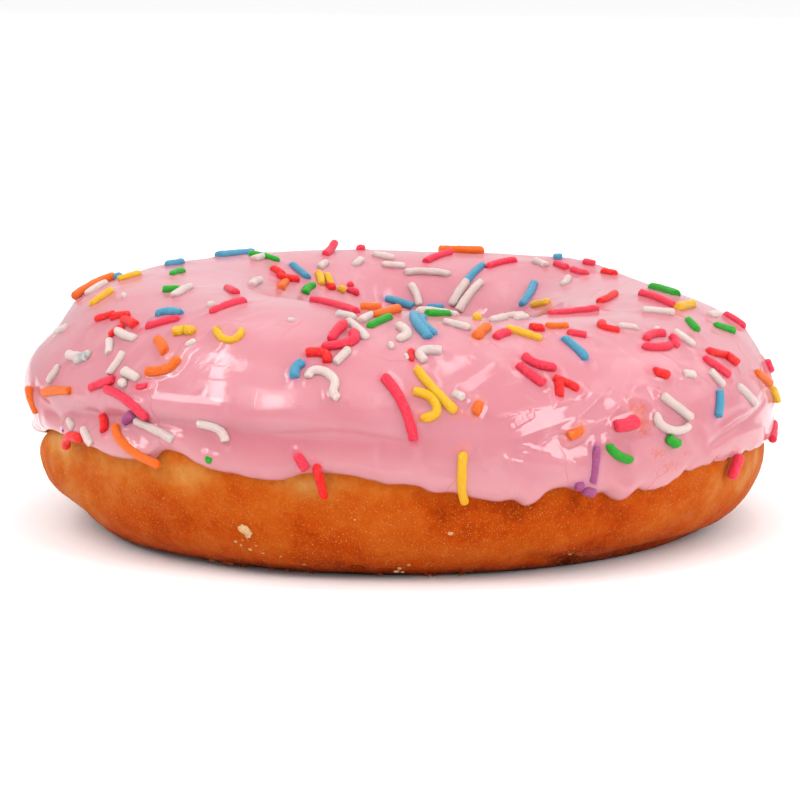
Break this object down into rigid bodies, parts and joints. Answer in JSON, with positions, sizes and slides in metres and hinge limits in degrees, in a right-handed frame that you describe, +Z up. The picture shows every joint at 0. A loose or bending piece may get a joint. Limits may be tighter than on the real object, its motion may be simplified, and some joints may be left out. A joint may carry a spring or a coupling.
{
  "type": "sprinkle frosted doughnut",
  "caption": "Ring doughnut of fried yeast dough with a wavy-edged cap of pink icing over its crown, flat-footed, with a through hole.",
  "frame": {"origin": "middle of the footprint, on the surface that the doughnut stands on", "axes": "+Z up out of the iced crown, -Y towards the shown front, +X to its right"},
  "size_m": [0.0948, 0.094, 0.0308],
  "materials": {
    "fried_dough": "soft fried crust, golden brown, paler at the proof line and darker at the foot",
    "pink_icing": "glossy set sugar icing, slightly wrinkled",
    "sugar_sprinkles": "satin sugar, in eight colours"
  },
  "bodies": {
    "root": {"dough": "fried_dough", "icing": "pink_icing"}
  },
  "joints": []
}
